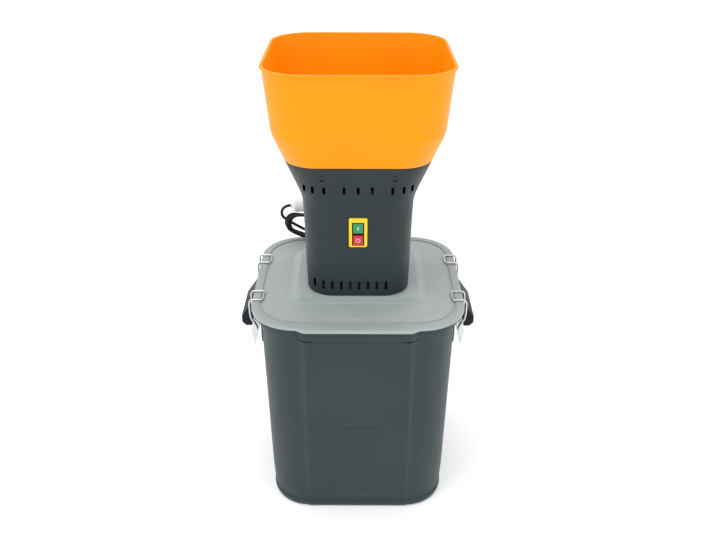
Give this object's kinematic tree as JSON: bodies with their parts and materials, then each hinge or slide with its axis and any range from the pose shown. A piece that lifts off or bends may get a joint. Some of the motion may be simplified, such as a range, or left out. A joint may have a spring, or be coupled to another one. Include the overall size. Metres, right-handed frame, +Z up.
{
  "type": "electric grain mill",
  "caption": "Electric grain mill: a hopper on a motor housing that drops grain past the motor into a knife and sieve chamber under the clamped lid of a bin.",
  "frame": {"origin": "middle of the bin's foot, on the surface it stands on", "axes": "+Z up, -Y towards the switch side, +X to the right of someone facing it"},
  "size_m": [0.458, 0.4, 0.873],
  "materials": {
    "bin_plastic": "moulded, fine grain, satin",
    "handle_plastic": "moulded, satin",
    "latch_steel": "bright zinc plate",
    "screw_steel": "zinc plate",
    "lid_plastic": "moulded, satin",
    "seal_rubber": "matte",
    "housing_plastic": "moulded, satin",
    "hopper_plastic": "moulded, satin",
    "gate_steel": "brushed",
    "chute_plastic": "moulded",
    "chamber_steel": "pressed sheet",
    "sieve_steel": "perforated sheet",
    "cast_aluminium": "die cast",
    "core_steel": "laminated",
    "copper_wire": "varnished copper wire",
    "brush_brass": "stamped",
    "carbon": "pressed carbon",
    "bearing_steel": "ground",
    "fan_plastic": "moulded",
    "knife_steel": "ground",
    "switch_yellow": "moulded, glossy",
    "switch_black": "moulded",
    "button_green": "moulded",
    "button_red": "moulded",
    "gland_rubber": "moulded",
    "cord_rubber": "smooth sheath",
    "plug_grey": "moulded",
    "pin_brass": "nickel plate",
    "capacitor_case": "moulded"
  },
  "bodies": {
    "bin": {"bin_shell": "bin_plastic", "bin_handle_left": "handle_plastic", "bin_handle_right": "handle_plastic", "handle_screws": "screw_steel", "latch_brackets": "latch_steel", "latch_rivets": "screw_steel", "latch_pins": "screw_steel"},
    "mill_head": {"lid": "lid_plastic", "lid_gasket": "seal_rubber", "motor_housing": "housing_plastic", "hopper": "hopper_plastic", "hopper_floor": "hopper_plastic", "feed_chute": "chute_plastic", "chamber_top_plate": "chamber_steel", "sieve_ring": "sieve_steel", "chamber_bottom_plate": "chamber_steel", "chamber_studs": "screw_steel", "stud_nuts": "screw_steel", "wing_nuts": "screw_steel", "shaft_seal": "seal_rubber", "lower_motor_bracket": "cast_aluminium", "upper_motor_bracket": "cast_aluminium", "stator_core": "core_steel", "field_coils": "copper_wire", "motor_screws": "screw_steel", "brush_holders": "brush_brass", "carbon_brushes": "carbon", "bearing_outer_rings": "bearing_steel", "housing_screws": "screw_steel", "hopper_screws": "screw_steel", "switch_plate": "switch_yellow", "switch_body": "switch_black", "capacitor": "capacitor_case", "cable_gland": "gland_rubber", "power_cord": "cord_rubber", "cord_hank": "cord_rubber", "plug_body": "plug_grey", "plug_pins": "pin_brass"},
    "rotor": {"motor_shaft": "core_steel", "armature_core": "core_steel", "armature_windings": "copper_wire", "commutator": "copper_wire", "cooling_fan": "fan_plastic", "bearing_inner_rings": "bearing_steel", "bearing_balls": "bearing_steel", "knife": "knife_steel", "knife_nut": "screw_steel"},
    "feed_gate": {"feed_gate": "gate_steel"},
    "green_button": {"green_button": "button_green"},
    "red_button": {"red_button": "button_red"},
    "latch_lever_left_front": {"latch_lever_left_front": "latch_steel"},
    "latch_bail_left_front": {"latch_bail_left_front": "latch_steel"},
    "latch_lever_right_front": {"latch_lever_right_front": "latch_steel"},
    "latch_bail_right_front": {"latch_bail_right_front": "latch_steel"},
    "latch_lever_left_back": {"latch_lever_left_back": "latch_steel"},
    "latch_bail_left_back": {"latch_bail_left_back": "latch_steel"},
    "latch_lever_right_back": {"latch_lever_right_back": "latch_steel"},
    "latch_bail_right_back": {"latch_bail_right_back": "latch_steel"}
  },
  "joints": [
    {"name": "mill_lift", "type": "slide", "parent": "bin", "child": "mill_head", "axis": [0, 0, 1], "range_m": [0, 0.25]},
    {"name": "rotor_spin", "type": "hinge", "parent": "mill_head", "child": "rotor", "pos_m": [0, 0, 0.5], "axis": [0, 0, 1], "continuous": true},
    {"name": "feed_gate_slide", "type": "slide", "parent": "mill_head", "child": "feed_gate", "axis": [0, 1, 0], "range_m": [0, 0.052]},
    {"name": "green_press", "type": "slide", "parent": "mill_head", "child": "green_button", "axis": [0, 1, 0], "range_m": [0, 0.003], "stiffness_N_per_m": 400},
    {"name": "red_press", "type": "slide", "parent": "mill_head", "child": "red_button", "axis": [0, 1, 0], "range_m": [0, 0.003], "stiffness_N_per_m": 400},
    {"name": "lever_swing_left_front", "type": "hinge", "parent": "bin", "child": "latch_lever_left_front", "pos_m": [-0.1935, -0.077, 0.378], "axis": [0, 1, 0], "range_deg": [0, 140]},
    {"name": "bail_swing_left_front", "type": "hinge", "parent": "latch_lever_left_front", "child": "latch_bail_left_front", "pos_m": [-0.1935, -0.077, 0.366], "axis": [0, 1, 0], "range_deg": [-210, 0]},
    {"name": "lever_swing_right_front", "type": "hinge", "parent": "bin", "child": "latch_lever_right_front", "pos_m": [0.1935, -0.077, 0.378], "axis": [0, -1, 0], "range_deg": [0, 140]},
    {"name": "bail_swing_right_front", "type": "hinge", "parent": "latch_lever_right_front", "child": "latch_bail_right_front", "pos_m": [0.1935, -0.077, 0.366], "axis": [0, -1, 0], "range_deg": [-210, 0]},
    {"name": "lever_swing_left_back", "type": "hinge", "parent": "bin", "child": "latch_lever_left_back", "pos_m": [-0.1935, 0.077, 0.378], "axis": [0, 1, 0], "range_deg": [0, 140]},
    {"name": "bail_swing_left_back", "type": "hinge", "parent": "latch_lever_left_back", "child": "latch_bail_left_back", "pos_m": [-0.1935, 0.077, 0.366], "axis": [0, 1, 0], "range_deg": [-210, 0]},
    {"name": "lever_swing_right_back", "type": "hinge", "parent": "bin", "child": "latch_lever_right_back", "pos_m": [0.1935, 0.077, 0.378], "axis": [0, -1, 0], "range_deg": [0, 140]},
    {"name": "bail_swing_right_back", "type": "hinge", "parent": "latch_lever_right_back", "child": "latch_bail_right_back", "pos_m": [0.1935, 0.077, 0.366], "axis": [0, -1, 0], "range_deg": [-210, 0]}
  ],
  "couplings": [
    {"joint": "bail_swing_left_front", "follows": "lever_swing_left_front", "ratio": -1.5},
    {"joint": "bail_swing_right_front", "follows": "lever_swing_right_front", "ratio": -1.5},
    {"joint": "bail_swing_left_back", "follows": "lever_swing_left_back", "ratio": -1.5},
    {"joint": "bail_swing_right_back", "follows": "lever_swing_right_back", "ratio": -1.5}
  ]
}
